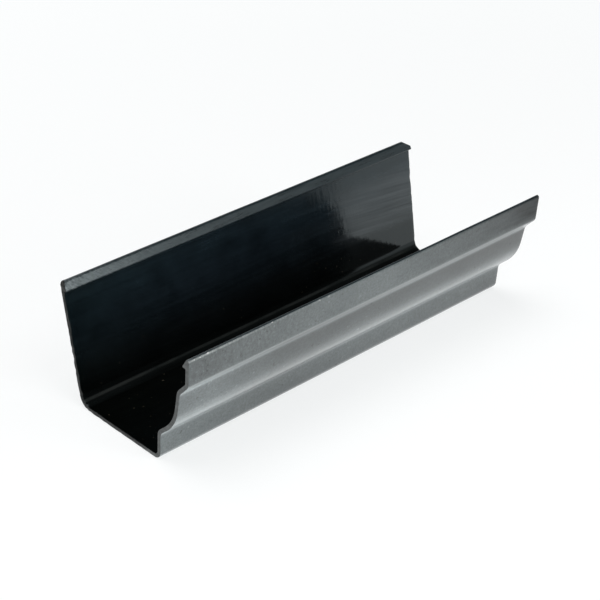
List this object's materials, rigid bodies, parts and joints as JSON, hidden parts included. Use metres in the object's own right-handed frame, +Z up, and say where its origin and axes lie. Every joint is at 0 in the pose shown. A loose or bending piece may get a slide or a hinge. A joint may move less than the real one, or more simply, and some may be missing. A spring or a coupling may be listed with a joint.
{
  "type": "gutter section",
  "caption": "Cut length of moulded ogee rainwater gutter: an open trough with a flat sole, splayed back wall, ogee front and nibbed top rims.",
  "frame": {"origin": "underside of the sole at mid-length and mid-width of the bounding box", "axes": "+X along the gutter's run, -Y out from the building towards the ogee front, +Z up"},
  "size_m": [0.353, 0.1468, 0.1027],
  "materials": {
    "painted_casting": "satin grey paint outside, gloss black paint in the trough, bare grey sawn ends"
  },
  "bodies": {
    "root": {"gutter_section": "painted_casting"}
  },
  "joints": []
}
